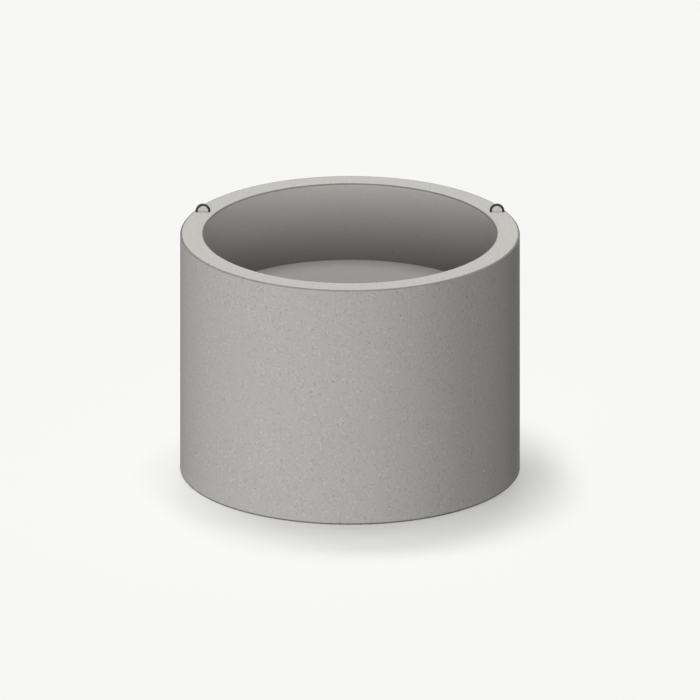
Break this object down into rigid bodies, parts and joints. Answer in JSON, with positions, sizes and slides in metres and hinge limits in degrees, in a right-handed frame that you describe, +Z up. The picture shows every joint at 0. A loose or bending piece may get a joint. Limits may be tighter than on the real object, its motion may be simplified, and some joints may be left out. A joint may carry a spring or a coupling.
{
  "type": "concrete manhole ring with base",
  "caption": "Round cast concrete manhole ring closed by a base, open at the top, with steel lifting loops standing out of its rim.",
  "frame": {"origin": "on the ground, at the centre of the ring's underside", "axes": "+Z up along the ring's axis, +X towards the right-hand lifting loop, -Y towards the viewer, so that the loops stand behind the centre line"},
  "size_m": [1.16, 1.1596, 0.8285],
  "materials": {
    "concrete": "matte cast concrete with a fine sand grain",
    "loop_steel": "dull dark mill scale on hot-rolled bar"
  },
  "bodies": {
    "root": {"concrete_ring": "concrete", "lifting_loop_left": "loop_steel", "lifting_loop_right": "loop_steel"}
  },
  "joints": []
}
